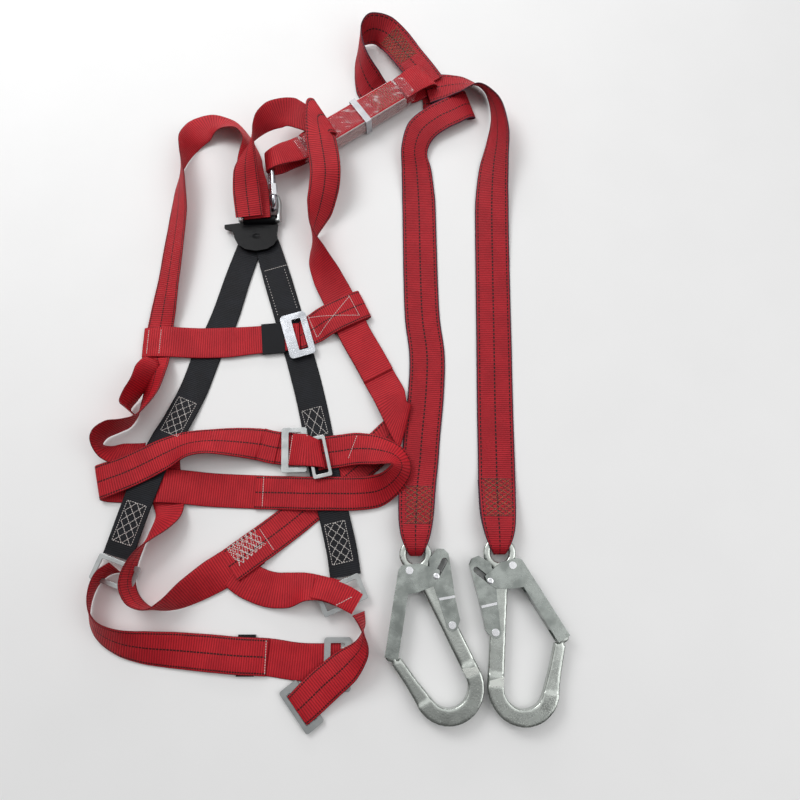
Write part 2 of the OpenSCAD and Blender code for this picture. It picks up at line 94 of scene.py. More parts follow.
def tube_faces(rings, sides, start=0):
    """The quads that join closed rings of points, the first point being number start."""
    faces = []
    for ring in range(rings - 1):
        for k in range(sides):
            a = start + ring * sides + k
            b = start + ring * sides + (k + 1) % sides
            faces.append((a, b, b + sides, a + sides))
    return faces


# ---------------------------------------------------------------- camera
CAMERA_AT = (90.0, -360.0, 896.0)
CAMERA_LEAN = math.radians(15.0)

camera_data = bpy.data.cameras.new("camera")
camera_data.lens = 30.15
camera_data.sensor_width = 36.0
camera_data.clip_start = 0.01
camera_data.clip_end = 20.0
camera = linked("camera", camera_data)
camera.location = place(*CAMERA_AT)
camera.rotation_euler = (CAMERA_LEAN, 0.0, 0.0)
bpy.context.scene.camera = camera

# ---------------------------------------------------------------- routes
# Stations along the middle of each strap: [x, y, z, roll] or [x, y, z, roll, width], roll 0 with the
# striped face up, 180 with the plain face up, 90 on edge; or [x, y, z, turn, tilt, width], where the
# crosswise direction is given by its turn about Z and its tilt above the floor.
ROUTES = {
    "left_shoulder_strap": [
        [-118, 149, 20.5, 180, 38], [-123, 190, 27, 182, 42], [-131, 222, 30, 192, 40],
        [-133, 250, 26, 218, 38], [-137, 276, 22, 248, 34], [-150, 297, 20, 246, 36],
        [-172, 313, 14, 218, 42], [-196, 317, 11, 196], [-216, 304, 11, 170], [-230, 278, 18, 120, 40],
        [-235, 248, 21.6, 84, 42], [-236, 212, 20, 58], [-236, 160, 16, 40], [-239, 100, 14, 34],
        [-242, 55, 12, 28, 42], [-246, 12, 9, 14, 40], [-249, -20, 6.5, 0, 37], [-249, -58, 6.5, 0, 35],
        [-246, -80, 13, 28, 38], [-249, -110, 17, 42, 42], [-255, -132, 22, 56, 42],
        [-264, -148, 22.6, 70, 42], [-278, -158, 22.6, 92, 42], [-294, -163, 22.6, 102, 42],
        [-309, -172, 22.6, 96, 42], [-314, -184, 20, 90, 38], [-304, -194, 13, 130, 30],
        [-288, -197, 6, 170, 32], [-272, -201, 4, 178, 40], [-258, -203, 3.4, 180],
    ],
    "right_shoulder_strap": [
        [-128, 149, 26.5, 0, 40], [-133, 188, 36, 350, 42], [-134, 220, 46, 335, 42],
        [-130, 248, 50, 306, 38], [-123, 272, 50, 272, 32], [-112, 294, 46, 240, 36],
        [-96, 311, 40, 212, 42], [-72, 318, 36, 192], [-32, 302, 35, -59, 0, 70],
        [-22, 308, 40, -59, 0, 72], [-32, 302, 45, -59, 0, 70], [-26, 264, 45, 0], [-19, 222, 43, 0],
        [-20, 195, 36, 345], [-27, 162, 28, 320], [-36, 125, 23, 272, 44], [-30, 92, 18.8, 232],
        [-16, 62, 12, 204], [0, 32, 8, 186], [14, 2, 6.6, 180], [28, -28, 6.6, 180], [45, -58, 6.6, 180],
        [60, -86, 7.2, 180],
    ],
    "right_hip_strap": [
        [12, 5, 3.9, 180], [28, -28, 3.9, 180], [48, -64, 3.9, 180], [64, -94, 4.6, 180],
        [76, -117, 9, 180], [91, -153, 10.6, -104, 0, 62], [98, -156, 6.4, -104, 0, 60],
        [88, -154, 2.2, -104, 0, 62], [62, -186, 1.4, 0], [32, -213, 1.2, 0], [-8, -247, 1.2, 0],
        [-45, -279, 1.2, 0], [-75, -303, 2.4, 0], [-100, -322, 6.6, 0], [-130, -344, 6.6, 0],
    ],
    "left_hip_strap": [
        [-231, -178, 1.2, 180], [-228, -215, 1.6, 180], [-221, -246, 1.6, 180, 43],
        [-216, -263, 2.2, 180, 42], [-214, -278, 9, 200, 42], [-220, -291, 15, 222, 40],
        [-232, -307, 19, 244, 38], [-244, -325, 20, 264, 36], [-253, -347, 20, 278, 36],
        [-254, -368, 19.6, 286, 36], [-243, -387, 19.6, 284, 36], [-222, -396, 19.6, 270, 36],
        [-200, -390, 19, 246, 38], [-178, -376, 15.4, 222, 42], [-150, -357, 9.8, 200],
        [-122, -338, 3.4, 184], [-98, -321, 1.3, 180],
    ],
    "left_tail_loop": [
        [-252, -66, 18, 180, 20], [-257, -82, 23, 130, 32], [-264, -102, 24, 104, 38],
        [-274, -120, 23.4, 98, 42], [-280, -134, 23, 88, 42], [-272, -141, 23, 84, 42],
    ],
    "chest_strap_left": [
        [-236, -38, 1.4, 0, 44], [-256, -38, 1.4, 0, 44], [-271, -38, 5, -90, 0, 44],
        [-256, -38, 9.2, 180, 44], [-232, -38, 9.2, 180], [-205, -38, 5, 180], [-180, -38, 4.2, 180],
        [-150, -37, 4.2, 180], [-118, -34, 4.2, 180, 42], [-52, -27.6, 4.2, 180, 40],
    ],
    "chest_strap_right": [
        [-51, -27, 4.2, 96, 0, 40], [-31, -16, 4.4, 0], [-17, -8, 9.4, 0], [-2, 0, 11.6, 0],
        [12, 7, 11.6, 0], [30, 16, 10.4, 0], [39, 21, 6, 115, 0, 45], [30, 16, 1.4, 180],
        [-12, -4, 1.4, 180],
    ],
    "belt_front": [
        [-250, -239, 1.2, 180], [-280, -239, 1.2, 180], [-304, -238, 1.6, 105, 0, 47],
        [-312, -236, 6.5, 105, 0, 47], [-302, -233, 11.4, 105, 0, 47], [-275, -223, 12.6, 0],
        [-250, -211, 13, 0], [-222, -197, 15, 350], [-195, -186, 19, 330], [-165, -182, 20, 326],
        [-130, -182, 14, 340], [-100, -184, 8, 356], [-78, -188, 6.2, 0], [-50, -191, 6.2, 0],
    ],
    "belt_flap": [
        [-98, -184, 10.4, 356], [-86, -187, 8.9, 358], [-75, -189, 8.6, 0],
    ],
    "belt_fold": [
        [-57, -191, 9, 0, 44], [-49, -192, 13, 0, 44], [-39, -193, 16.6, 0, 44],
        [-27, -195, 17, 100, 0, 42], [-18, -197, 15, 103, 0, 40], [-15, -198, 12.6, 103, 0, 40],
    ],
    "belt_back": [
        [-247, -239, 6.6, 180], [-215, -240, 6.9, 180], [-190, -242, 5.3, 180], [-155, -245, 1.7, 180],
        [-84, -248, 1.3, 180],
    ],
    "belt_right": [
        [-102, -248, 3.7, 0], [-60, -249, 4.8, 0], [-32, -250, 7.2, 0], [-8, -250, 7.8, 0],
        [30, -250, 7, 5], [60, -247, 12, 22], [80, -236, 22, 40, 42], [92, -218, 27, 46, 42],
        [84, -203, 26, 38, 42], [60, -194, 20, 18], [32, -191, 13, 4], [10, -193, 8, 0],
        [-8, -195, 6.2, 0], [-22, -197, 6.2, 0],
    ],
    "left_leg_strap": [
        [-274, -345, 15, 118, 28], [-287, -352, 18, 100, 34], [-296, -367, 19.6, 84, 36],
        [-299, -388, 20.4, 74, 38], [-295, -408, 20.4, 62, 38], [-282, -424, 20, 50, 40],
        [-258, -436, 16, 38, 43], [-228, -442, 11, 24], [-195, -445, 7, 12], [-150, -449, 4.2, 0],
        [-114, -452, 4.8, 0], [-92, -453, 4.8, 0], [-76, -454, 3.8, 0],
    ],
    "left_leg_tail": [
        [-118, -452, 1.2, 180], [-76, -454, 1.2, 180], [-40, -459, 1.2, 180], [-12, -460, 1.2, 180],
        [16, -459, 1.2, 180],
    ],
    "right_leg_strap": [
        [-126, -346, 3.9, 180], [-106, -361, 3.9, 180], [-78, -372, 4, 180], [-52, -373, 7, 172],
        [-30, -369, 13, 150, 40], [-8, -371, 14, 150, 34], [14, -377, 13, 160, 34],
    ],
    "right_leg_tab": [
        [-20, -370, 17, 150, 28], [0, -373, 18, 155, 30], [20, -381, 17, 165, 30],
        [36, -390, 14, 172, 28],
    ],
    "right_leg_lower": [
        [38, -401, 16, 116, 32], [44, -418, 19.6, 96, 36], [43, -440, 20, 58, 40], [24, -462, 14, 22],
        [-4, -486, 8.6, 4], [-20, -501, 7.4, -47, 0, 44], [-32, -512, 6.9, -52, 0, 42],
        [-36, -515, 5.6, -52, 0, 41],
    ],
    "back_strap_left": [
        [-130, 118, 1.3, 180, 36], [-146, 60, 1.3, 180, 38], [-161, 0, 1.2, 180], [-181, -55, 1.2, 180],
        [-196, -105, 1.4, 180], [-213, -148, 4, 180], [-228, -180, 7.8, 180], [-241, -215, 9.3, 180],
        [-254, -256, 9.3, 180], [-267, -300, 6.4, 180], [-276, -332, 5.2, 180],
    ],
    "back_strap_right": [
        [-106, 118, 3.7, 180, 36], [-88, 62, 2.4, 180], [-70, 5, 1.2, 180], [-50, -60, 1.2, 180],
        [-37, -105, 1.2, 180], [-27, -145, 1.2, 180], [-19, -182, 2, 180], [-8, -235, 3.9, 180],
        [3, -278, 3.9, 180], [14, -322, 4, 180], [20, -356, 5, 180],
    ],
    "absorber_loop_low": [
        [-54, 267, 14, 125, 0, 41], [-66, 259, 14.5, 125, 0, 41], [-78, 251, 16, 120, 0, 38],
        [-88, 243, 17, 108, 0, 34], [-99, 238, 18.6, 100, 0, 32], [-109, 236, 28, 97, 0, 32],
        [-99, 238, 37.4, 100, 0, 32], [-88, 243, 38.4, 108, 0, 34], [-78, 251, 32.5, 120, 0, 38],
        [-66, 259, 26.6, 125, 0, 41], [-54, 267, 24, 125, 0, 41],
    ],
    "absorber_loop_high": [
        [91, 369, 12, 125, 0, 41], [102, 376, 6.4, 125, 0, 42], [114, 385, 5, 125, 0, 44],
        [128, 395, 6, 125, 0, 45], [135, 400, 14, 125, 0, 45], [129, 396, 23, 125, 0, 45],
        [114, 385, 27, 125, 0, 44], [102, 376, 26.4, 125, 0, 42], [91, 369, 24, 125, 0, 41],
    ],
    "lanyard_left": [
        [113, -232, 1.2, 180], [111, -272, 1.8, 180, 46], [110, -298, 2.4, 180, 38],
        [110, -312, 2.6, 180, 28], [110, -322, 3.2, 180, 20], [110, -329, 8, 180, 0, 15],
        [110, -330, 11, 180, 0, 14], [110, -329, 14, 180, 0, 15], [110, -322, 18.8, 0, 26],
        [110, -310, 20, 0, 36], [110, -298, 20, 0, 42], [111, -276, 15, 0, 47], [113, -240, 5.4, 0],
        [117, -205, 1.8, 0], [120, -170, 1.2, 0], [126, -110, 1.2, 0], [128, -55, 1.2, 0],
        [122, 0, 1.2, 0], [120, 60, 1.2, 0], [119, 130, 1.3, 0], [118, 190, 1.8, 0], [115, 240, 6, 8, 46],
        [112, 270, 13, 20, 42], [122, 302, 13.8, 12, 46], [147, 326, 13, 0], [170, 339, 13, 0],
        [190, 351, 11.6, 107, 0, 51], [199, 354, 7, 107, 0, 51], [190, 355, 2.4, 106, 0, 51],
        [162, 361, 1.2, 180], [126, 360, 1.2, 180],
    ],
    "lanyard_right": [
        [219, -232, 1.2, 180], [218, -272, 1.8, 180, 46], [218, -296, 2.4, 180, 38],
        [218, -310, 2.6, 180, 28], [218, -320, 3.2, 180, 20], [218, -327, 8, 180, 0, 15],
        [218, -328, 11, 180, 0, 14], [218, -327, 14, 180, 0, 15], [218, -320, 18.8, 0, 26],
        [218, -308, 20, 0, 36], [218, -296, 20, 0, 42], [218, -274, 15, 0, 47], [219, -238, 5.4, 0],
        [220, -205, 1.8, 0], [221, -130, 1.2, 0], [223, -30, 1.2, 0], [225, 80, 1.6, 0],
        [227, 180, 5.4, 352], [231, 240, 12.6, 335, 47], [238, 290, 21, 312, 44], [236, 337, 23, 282, 42],
        [217, 374, 21.6, 242, 44], [188, 386, 13.6, 205], [158, 386, 9.6, 186], [132, 380, 8.8, 180],
    ],
    "lanyard_centre": [
        [86, 362, 1.3, 180], [68, 370, 1.3, 180], [57, 376, 2.4, 178], [48, 382, 7.2, 166],
        [40, 389, 14.4, 150], [30, 412, 23.5, 118], [26, 442, 26, 105, 48], [30, 468, 26, 92, 48],
        [46, 482, 24, 62, 48], [66, 480, 19, 30], [84, 464, 16, 8], [102, 440, 13.6, 0],
        [120, 414, 12.8, 0], [136, 389, 12.2, 0],
    ],
}
WIDTHS = {name: HARNESS_W for name in ROUTES}
WIDTHS.update({name: LANYARD_W for name in ROUTES if name.startswith("lanyard")})
WIDTHS.update({name: BACK_W for name in ROUTES if name.startswith("back_strap")})
WIDTHS["right_leg_tab"] = 32.0


# ---------------------------------------------------------------- ribbons
# ACROSS says where the points of a cross section lie, from one edge at -1 to the other at 1, and
# SELVEDGE where its rounding starts. The other lengths are in millimetres.
RING_STEP = 3.0
SMOOTH_PASSES = 6
ACROSS = [-1.0, -0.985, -0.94, -0.7, -0.4, -0.13, 0.13, 0.4, 0.7, 0.94, 0.985, 1.0]
SELVEDGE = 0.94
FLOOR_GAP = 0.15
RIPPLE = 0.2
RIPPLE_SHORT = 17.0
RIPPLE_LONG = 41.0


def crosswise(route, i):
    """The crosswise direction of the webbing at one station."""
    station = route[i]
    if len(station) == 6:
        turn, tilt = math.radians(station[3]), math.radians(station[4])
        return Vector((math.cos(tilt) * math.cos(turn), math.cos(tilt) * math.sin(turn), math.sin(tilt)))
    before, after = route[max(i - 1, 0)], route[min(i + 1, len(route) - 1)]
    left = Vector((before[1] - after[1], after[0] - before[0], 0.0)).normalized()
    roll = math.radians(station[3])
    return left * math.cos(roll) + Vector((0.0, 0.0, math.sin(roll)))


def station_width(station, nominal):
    """The station's own width where it gives one."""
    return station[-1] if len(station) > 4 else nominal


def smoothed(values):
    """Running average along a ribbon that leaves its two ends where they are."""
    for _ in range(SMOOTH_PASSES):
        inner = [(a + b * 2.0 + c) * 0.25 for a, b, c in zip(values, values[1:], values[2:])]
        values = [values[0]] + inner + [values[-1]]
    return values


def ribbon_rings(route, nominal):
    """Centre, crosswise half vector and length along, ring by ring, in millimetres.

    The centres lie on a Catmull-Rom curve through the stations."""
    last = len(route) - 1
    at = [Vector(s[:3]) for s in route]
    centres, spreads, widths = [], [], []
    for i in range(last):
        p0, p1, p2, p3 = at[max(i - 1, 0)], at[i], at[i + 1], at[min(i + 2, last)]
        s1, s2 = crosswise(route, i), crosswise(route, i + 1)
        w1, w2 = station_width(route[i], nominal), station_width(route[i + 1], nominal)
        count = max(3, math.ceil((p2 - p1).length / RING_STEP))
        for j in range(count + (i == last - 1)):
            u = j / count
            lower = (p2 - p0) * u + (p0 * 2 - p1 * 5 + p2 * 4 - p3) * u ** 2
            centres.append(p1 + (lower + (p1 * 3 - p0 - p2 * 3 + p3) * u ** 3) * 0.5)
            spreads.append(s1 * w1 * (1 - u) + s2 * w2 * u)
            widths.append(spreads[-1].length)
    spreads, widths = smoothed(spreads), smoothed(widths)
    halves = [s.normalized() * w * 0.5 for s, w in zip(spreads, widths)]
    lengths = [0.0]
    for a, b in zip(centres, centres[1:]):
        lengths.append(lengths[-1] + (b - a).length)
    return centres, halves, lengths


def edge_height(x):
    """Half thickness across the webbing, rounded off at the selvedge."""
    past = max(0.0, (abs(x) - SELVEDGE) / (1.0 - SELVEDGE))
    return math.sqrt(max(0.0, 1.0 - past * past))


def ribbon(name, route, nominal, thickness=WEB_T, ripple=RIPPLE, to_row=place, edged=False):
    """A closed thin ribbon with its place across and along, in metres, as the UV map named strap.

    Slot 0 is the face that is up at roll 0, slot 1 the other one, and slot 2 the selvedges if edged."""
    centres, halves, lengths = ribbon_rings(route, nominal)
    loop = [(x, 1.0) for x in ACROSS] + [(x, -1.0) for x in reversed(ACROSS[1:-1])]
    size = len(loop)
    phase = random.random() * 6.0
    points = []
    for k, centre in enumerate(centres):
        ahead = centres[min(k + 1, len(centres) - 1)] - centres[max(k - 1, 0)]
        normal = ahead.cross(halves[k]).normalized()
        for x, face in loop:
            wave = math.sin(lengths[k] / RIPPLE_SHORT + phase + 1.3 * x)
            wave *= math.sin(lengths[k] / RIPPLE_LONG + 2.0 * x)
            lift = face * edge_height(x) * thickness * 0.5 + ripple * wave
            point = centre + halves[k] * x + normal * lift
            point.z = max(point.z, FLOOR_GAP + 0.1 * face)
            points.append(to_row(*point))
    faces = tube_faces(len(centres), size)
    count = len(faces)
    faces.append(tuple(range(size)))
    faces.append(tuple(range(len(points) - 1, len(points) - size - 1, -1)))
    mesh = bpy.data.meshes.new(name)
    mesh.from_pydata(points, [], faces)
    uv = mesh.uv_layers.new(name="strap")
    for polygon in mesh.polygons:
        polygon.use_smooth = polygon.index < count
        s = polygon.index % size
        top = s < len(ACROSS) - 1
        polygon.material_index = 0 if top and polygon.index < count else 1
        if edged and min(abs(loop[s][0]), abs(loop[(s + 1) % size][0])) >= SELVEDGE:
            polygon.material_index = 2
        for corner in polygon.loop_indices:
            k, s = divmod(mesh.loops[corner].vertex_index, size)
            uv.data[corner].uv = (loop[s][0] * nominal * 0.5 * MM, lengths[k] * MM)
    return linked(name, mesh), lengths[-1]


# ---------------------------------------------------------------- finishes
# half the width over which a woven line fades, in millimetres
BAND_SOFT = 0.25


class Finish:
    """A procedural material, built node by node."""

    def __init__(self, name, **sockets):
        self.material = bpy.data.materials.new(name)
        self.material.use_nodes = True
        self.nodes = self.material.node_tree.nodes
        self.links = self.material.node_tree.links
        self.shader = self.nodes["Principled BSDF"]
        for socket, value in sockets.items():
            self.shader.inputs[socket.replace("_", " ")].default_value = value

    def put(self, socket, value):
        """Wires another node's output to a socket, or sets a plain value on it."""
        if isinstance(value, bpy.types.NodeSocket):
            self.links.new(value, socket)
        else:
            socket.default_value = value

    def math(self, operation, a, b=0.0):
        node = self.nodes.new("ShaderNodeMath")
        node.operation = operation
        for socket, value in zip(node.inputs, (a, b)):
            self.put(socket, value)
        return node.outputs[0]

    def mix(self, factor, a, b):
        """Colour a where the factor is 0, colour b where it is 1."""
        node = self.nodes.new("ShaderNodeMix")
        node.data_type = "RGBA"
        self.put(node.inputs[0], factor)
        self.put(node.inputs[6], a)
        self.put(node.inputs[7], b)
        return node.outputs[2]

    def ramp(self, value, low, high, bottom=0.0, top=1.0):
        """From bottom, at low, smoothly to top, at high."""
        node = self.nodes.new("ShaderNodeMapRange")
        node.interpolation_type = "SMOOTHSTEP"
        for socket, number in zip(node.inputs, (value, low, high, bottom, top)):
            self.put(socket, number)
        return node.outputs[0]

    def noise(self, scale, detail=3.0, stretch=None, uv=False):
        """Noise on the object's own coordinates, or on the webbing's."""
        node = self.nodes.new("ShaderNodeTexNoise")
        node.inputs["Scale"].default_value = scale
        node.inputs["Detail"].default_value = detail
        source = self.uv() if uv else self.object_point()
        if stretch:
            scaled = self.nodes.new("ShaderNodeVectorMath")
            scaled.operation = "MULTIPLY"
            self.links.new(source, scaled.inputs[0])
            scaled.inputs[1].default_value = stretch
            source = scaled.outputs[0]
        self.links.new(source, node.inputs["Vector"])
        return node.outputs[0]

    def uv(self):
        node = self.nodes.new("ShaderNodeUVMap")
        node.uv_map = "strap"
        return node.outputs[0]

    def object_point(self):
        return self.nodes.new("ShaderNodeTexCoord").outputs["Object"]

    def millimetres(self):
        """Distance across and along the webbing."""
        parts = self.nodes.new("ShaderNodeSeparateXYZ")
        self.links.new(self.uv(), parts.inputs[0])
        return [self.math("MULTIPLY", parts.outputs[k], 1000.0) for k in (0, 1)]

    def wave(self, value, pitch):
        """0 to 1 and back once in each pitch."""
        return self.math("ABSOLUTE", self.math("SINE", self.math("MULTIPLY", value, math.pi / pitch)))

    def band(self, value, low, high):
        """1 between low and high."""
        rise = self.ramp(value, low - BAND_SOFT, low + BAND_SOFT)
        fall = self.ramp(value, high - BAND_SOFT, high + BAND_SOFT, 1.0, 0.0)
        return self.math("MULTIPLY", rise, fall)

    def bump(self, height, depth, strength):
        node = self.nodes.new("ShaderNodeBump")
        node.inputs["Strength"].default_value = strength
        node.inputs["Distance"].default_value = depth
        self.links.new(height, node.inputs["Height"])
        self.links.new(node.outputs[0], self.shader.inputs["Normal"])

    def colour(self, value):
        self.put(self.shader.inputs["Base Color"], value)

    def roughness(self, value):
        self.put(self.shader.inputs["Roughness"], value)


def shade(red, green, blue):
    """A screen colour, 0 to 255, as the linear colour a shader takes."""
    def linear(c):
        c /= 255.0
        return c / 12.92 if c <= 0.04045 else ((c + 0.055) / 1.055) ** 2.4
    return (linear(red), linear(green), linear(blue), 1.0)


RED_LIGHT = shade(222, 36, 48)
RED = shade(184, 18, 34)
RED_DEEP = shade(84, 4, 14)
LINE = shade(20, 6, 10)
SELVEDGE_BLUE = shade(66, 30, 48)
BLACK = shade(10, 12, 18)
BLACK_LIGHT = shade(30, 34, 44)

# bump depths in metres, the ribs' share of the weave's relief and the strength of woven marks
WEAVE_DEPTH = 0.00045
METAL_DEPTH = 0.00012
PLASTIC_DEPTH = 0.00015
THREAD_DEPTH = 0.0001
FILM_DEPTH = 0.0014
RIB_SHARE = 0.65
PAINT_SHARE = 0.96


def webbing_finish(name, light, base, deep, marks=(), rib=3.1, yarn=1.3, width=HARNESS_W, border=None):
    """Woven polyester: ribs across, yarns along, woven marks and a darker selvedge.

    Each mark is (low, high, dash, share, paint): a band between two distances from the middle, in
    millimetres, broken into dashes of that pitch and share unless the pitch is 0."""
    finish = Finish(name, Specular_IOR_Level=0.3, Sheen_Weight=0.05, Sheen_Roughness=0.4)
    finish.shader.inputs["Sheen Tint"].default_value = light
    across, along = finish.millimetres()
    side = finish.math("ABSOLUTE", across)
    wander = finish.math("MULTIPLY", finish.noise(420.0, uv=True), 0.8)
    ribs = finish.wave(finish.math("ADD", along, wander), rib)
    row = finish.math("FLOOR", finish.math("DIVIDE", along, rib))
    staggered = finish.math("ADD", across, finish.math("MULTIPLY", row, yarn * 0.5))
    yarns = finish.wave(staggered, yarn)
    from_ribs = finish.math("MULTIPLY", ribs, RIB_SHARE)
    weave = finish.math("ADD", from_ribs, finish.math("MULTIPLY", yarns, 1.0 - RIB_SHARE))
    patches = finish.ramp(finish.noise(38.0, 4.0), 0.35, 0.68)
    fibres = finish.ramp(finish.noise(2600.0, 2.0, (1.0, 0.3, 1.0), uv=True), 0.3, 0.7)
    colour = finish.mix(finish.math("MULTIPLY", patches, 0.45), base, light)
    groove = finish.math("POWER", finish.math("SUBTRACT", 1.0, weave), 1.4)
    shadow = finish.math("MINIMUM", finish.math("MULTIPLY", groove, 1.25), 1.0)
    colour = finish.mix(shadow, colour, deep)
    colour = finish.mix(finish.math("MULTIPLY", fibres, 0.16), colour, light)
    half = width * 0.5
    rim = finish.ramp(side, half - 1.2, half - 0.2, 0.0, 0.8)
    colour = finish.mix(rim, colour, border or deep)
    for low, high, dash, share, paint in marks:
        mask = finish.band(side, low, high)
        if dash:
            part = finish.math("FRACT", finish.math("DIVIDE", along, dash))
            mask = finish.math("MULTIPLY", mask, finish.ramp(part, share - 0.05, share + 0.05, 1.0, 0.0))
        colour = finish.mix(finish.math("MULTIPLY", mask, PAINT_SHARE), colour, paint)
    finish.colour(colour)
    finish.roughness(finish.ramp(weave, 0.0, 1.0, 0.78, 0.52))
    soft = finish.math("MULTIPLY", finish.noise(1500.0, 2.0, uv=True), 0.25)
    finish.bump(finish.math("ADD", weave, soft), WEAVE_DEPTH, 0.85)
    return finish.material


def metal_finish(name, base, dark, rough, grain=900.0, brushed=None, wear=0.35):
    """Plated or bare steel with mottling, fine scratches and rubbed patches."""
    finish = Finish(name, Metallic=1.0)
    mottle = finish.ramp(finish.noise(55.0, 5.0), 0.35, 0.7)
    fine = finish.noise(grain, 3.0, brushed)
    scratch = finish.ramp(finish.noise(260.0, 6.0, (1.0, 7.0, 1.0)), 0.62, 0.7)
    rubbed = finish.ramp(finish.noise(24.0, 3.0), 0.45, 0.62)
    colour = finish.mix(finish.math("MULTIPLY", mottle, wear), base, dark)
    colour = finish.mix(finish.math("MULTIPLY", scratch, 0.25), colour, dark)
    finish.colour(colour)
    uneven = finish.math("ADD", finish.math("MULTIPLY", fine, 0.5), mottle)
    spread = finish.math("MULTIPLY", uneven, 0.14)
    worn = finish.math("SUBTRACT", rough + 0.06, finish.math("MULTIPLY", rubbed, 0.1))
    finish.roughness(finish.math("ADD", worn, spread))
    finish.bump(finish.math("ADD", fine, finish.math("MULTIPLY", scratch, -0.6)), METAL_DEPTH, 0.5)
    return finish.material


def plastic_finish(name, base, light, rough):
    """Moulded plastic with a fine spark eroded grain and scuffs."""
    finish = Finish(name, Specular_IOR_Level=0.16)
    grain = finish.noise(1900.0, 2.0)
    scuff = finish.ramp(finish.noise(90.0, 6.0, (1.0, 3.0, 1.0)), 0.58, 0.72)
    finish.colour(finish.mix(finish.math("MULTIPLY", scuff, 0.35), base, light))
    finish.roughness(finish.math("ADD", rough, finish.math("MULTIPLY", scuff, 0.2)))
    finish.bump(grain, PLASTIC_DEPTH, 0.6)
    return finish.material


def thread_finish(name, base, dark):
    """Bonded sewing thread with its twist."""
    finish = Finish(name, Roughness=0.5, Sheen_Weight=0.3)
    twist = finish.noise(1400.0, 2.0)
    finish.colour(finish.mix(finish.ramp(twist, 0.35, 0.7), base, dark))
    finish.bump(twist, THREAD_DEPTH, 0.6)
    return finish.material


def film_finish(name):
    """Clear shrink film, glossy and wrinkled, with milky streaks."""
    finish = Finish(name, Roughness=0.12, IOR=1.48, Coat_Weight=0.6, Coat_Roughness=0.08)
    streak = finish.ramp(finish.noise(70.0, 5.0, (1.0, 2.2, 1.0)), 0.5, 0.74)
    finish.colour(finish.mix(streak, shade(206, 120, 126), shade(236, 222, 222)))
    alpha = finish.math("ADD", 0.12, finish.math("MULTIPLY", streak, 0.24))
    finish.put(finish.shader.inputs["Alpha"], alpha)
    finish.bump(finish.noise(120.0, 4.0, (1.0, 1.8, 1.0)), FILM_DEPTH, 0.8)
    return finish.material


# a dashed line woven along the middle and one near each edge: on one face of the harness webbing, and
# on both faces of the lanyard, which has blue black edges as well
HARNESS_MARKS = [(-0.5, 0.95, 4.2, 0.78, LINE), (18.6, 20.4, 3.4, 0.8, LINE)]
LANYARD_MARKS = [
    (-0.5, 1.05, 5.6, 0.68, LINE), (19.6, 21.4, 5.6, 0.66, LINE),
    (23.2, 26.0, 0.0, 0.0, SELVEDGE_BLUE),
]
LINED = webbing_finish("red_webbing_lined", RED_LIGHT, RED, RED_DEEP, HARNESS_MARKS)
PLAIN = webbing_finish("red_webbing_plain", RED_LIGHT, RED, RED_DEEP)
LANYARD = webbing_finish(
    "lanyard_webbing", shade(208, 32, 46), shade(174, 18, 34), shade(80, 5, 16),
    LANYARD_MARKS, rib=2.8, width=LANYARD_W, border=SELVEDGE_BLUE)
BACK = webbing_finish("black_webbing", BLACK_LIGHT, BLACK, shade(3, 3, 6), rib=2.6, yarn=1.2, width=BACK_W)
ELASTIC = webbing_finish("elastic", BLACK_LIGHT, BLACK, shade(6, 6, 8), rib=2.4, yarn=0.9)
FOLDS = webbing_finish(
    "tear_webbing", shade(252, 250, 248), shade(240, 237, 236), shade(186, 174, 172), rib=2.2)
ZINC = metal_finish("zinc_steel", shade(184, 187, 187), shade(112, 117, 120), 0.27)
FORGED = metal_finish("forged_zinc", shade(192, 197, 192), shade(122, 128, 124), 0.1, grain=420.0)
PRESSED = metal_finish(
    "pressed_plate", shade(166, 172, 168), shade(84, 89, 87), 0.14, grain=330.0, wear=0.5)
BRIGHT = metal_finish("plated_steel", shade(232, 233, 236), shade(176, 178, 184), 0.14, wear=0.2)
POLISHED = metal_finish(
    "polished_plate", shade(178, 181, 186), shade(158, 161, 166), 0.12, grain=300.0, wear=0.12)
# a brighter copy of the zinc: a painted highlight on the facet where each hook's shank meets its bowl
FACET_HIGHLIGHT = metal_finish("facet_painted_highlight", shade(234, 238, 232), shade(206, 210, 204), 0.16, wear=0.2)
CHROME = metal_finish("dark_chrome", shade(196, 198, 204), shade(92, 94, 100), 0.12, wear=0.4)
FOIL = metal_finish("foil_band", shade(196, 196, 200), shade(136, 136, 142), 0.3, brushed=(1.0, 4.0, 1.0))
MOULDED = plastic_finish("black_plastic", shade(5, 6, 9), shade(26, 29, 36), 0.44)
WHITE_THREAD = thread_finish("white_thread", shade(236, 232, 228), shade(186, 176, 172))
DARK_THREAD = thread_finish("dark_thread", shade(58, 34, 30), shade(28, 14, 14))
BROWN_THREAD = thread_finish("brown_thread", shade(158, 112, 62), shade(96, 60, 36))
FILM = film_finish("clear_film")


def coat(piece, *materials):
    """Gives a piece or a CAD node its finishes, slot by slot."""
    slots = piece.data.materials
    while len(slots) > len(materials):
        slots.pop()
    for k, material in enumerate(materials):
        if k < len(slots):
            slots[k] = material
        else:
            slots.append(material)


# ---------------------------------------------------------------- straps
STRAPS = {}
for name, route in ROUTES.items():
    piece, length = ribbon(name + "_web", route, WIDTHS[name])
    if name.startswith("lanyard"):
        coat(piece, LANYARD, LANYARD)
    elif name.startswith("back_strap"):
        coat(piece, BACK, BACK)
    elif name.startswith("absorber_loop") or name == "belt_fold":
        coat(piece, PLAIN, PLAIN)
    else:
        coat(piece, LINED, PLAIN)
    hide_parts(name)
    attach(piece, "webbing")
    STRAPS[name] = piece

